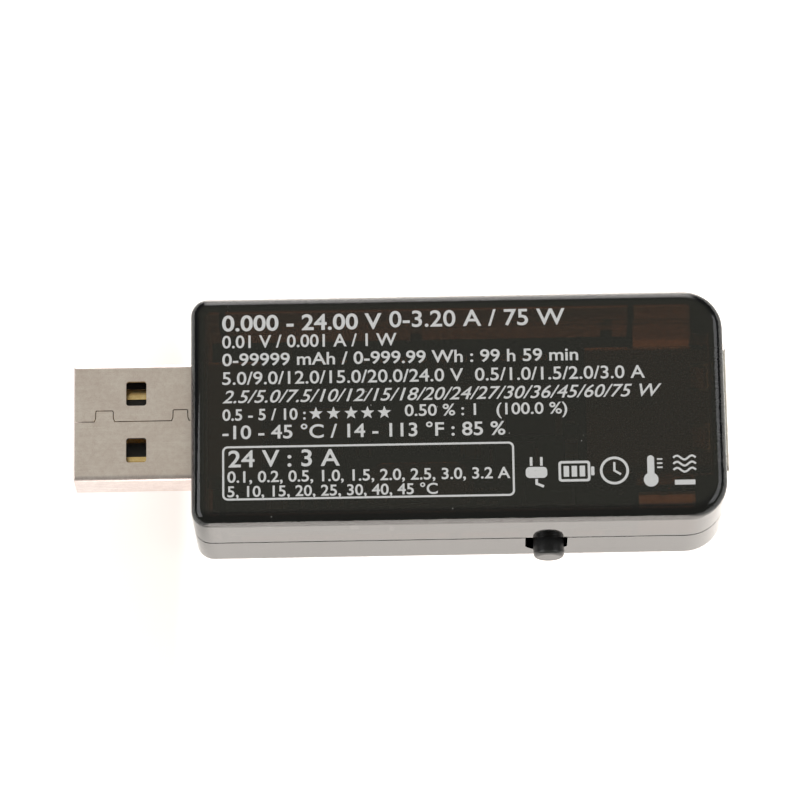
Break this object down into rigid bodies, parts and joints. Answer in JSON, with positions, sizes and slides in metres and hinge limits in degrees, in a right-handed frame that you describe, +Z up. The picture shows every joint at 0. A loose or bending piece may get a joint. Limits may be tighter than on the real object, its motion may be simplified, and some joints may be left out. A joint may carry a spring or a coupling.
{
  "type": "usb power meter",
  "caption": "Inline USB power meter: smoked translucent case with a USB-A plug at one end, a USB-A socket at the other, a side push button and a display behind the case wall.",
  "frame": {"origin": "centre of the case's flat display face, which it rests on; y = 0 is the plane through the plug and socket axes", "axes": "+X towards the output socket, so the plug is at -X; +Z up to the label face; the button is on the -Y side"},
  "size_m": [0.0644, 0.0247, 0.0138],
  "materials": {
    "smoked_case": "smoked translucent polycarbonate, polished",
    "plug_steel": "satin nickel-plated steel",
    "socket_steel": "bright nickel-plated steel",
    "insulator_black": "moulded, fine texture",
    "contact_gold": "gold flash over nickel",
    "button_black": "satin moulded",
    "switch_black": "moulded",
    "switch_steel": "blackened stamped steel",
    "spring_steel": "bright spring steel",
    "tin": "bright tin plate",
    "solder": "bright solder",
    "board": "solder mask over laminate",
    "display_glass": "display glass",
    "polarizer": "polarizing film",
    "display_frame": "moulded white",
    "light_guide": "clear acrylic with etched dots",
    "reflector": "white reflector film",
    "led_white": "white body with yellow phosphor",
    "chip_black": "moulded epoxy",
    "capacitor_tan": "fired ceramic",
    "resistor_dark": "fired ceramic, coated top",
    "capacitor_yellow": "moulded epoxy",
    "crystal_can": "drawn nickel silver can"
  },
  "bodies": {
    "case": {"back_cover": "smoked_case", "backlight_guide": "light_guide", "backlight_leds": "led_white", "backlight_reflector": "reflector", "chip_capacitor_ends": "tin", "chip_capacitors": "capacitor_tan", "chip_resistor_ends": "tin", "chip_resistors": "resistor_dark", "crystal": "crystal_can", "current_amplifier": "chip_black", "current_amplifier_leads": "tin", "front_case": "smoked_case", "lcd_frame": "display_frame", "lcd_front_glass": "display_glass", "lcd_front_polarizer": "polarizer", "lcd_pins": "tin", "lcd_rear_glass": "display_glass", "lcd_rear_polarizer": "polarizer", "main_pcb": "board", "memory_chip": "chip_black", "memory_chip_leads": "tin", "microcontroller": "chip_black", "microcontroller_leads": "tin", "plug_data_contacts": "contact_gold", "plug_insulator": "insulator_black", "plug_power_contacts": "contact_gold", "plug_shell": "plug_steel", "protection_diode": "chip_black", "protection_diode_ends": "tin", "reservoir_capacitor": "capacitor_yellow", "reservoir_capacitor_ends": "tin", "shunt_resistor": "resistor_dark", "shunt_resistor_ends": "tin", "socket_data_contacts": "contact_gold", "socket_insulator": "insulator_black", "socket_power_contacts": "contact_gold", "socket_shell": "socket_steel", "solder_joints": "solder", "switch_cover_plate": "switch_steel", "switch_dome": "spring_steel", "switch_housing": "switch_black", "switch_terminals": "tin", "voltage_regulator": "chip_black", "voltage_regulator_leads": "tin"},
    "button": {"button": "button_black", "switch_plunger": "switch_black"}
  },
  "joints": [
    {"name": "button_press", "type": "slide", "parent": "case", "child": "button", "axis": [0, 1, 0], "range_m": [0, 0.00025], "stiffness_N_per_m": 6400, "deforming": ["switch_dome"]}
  ]
}
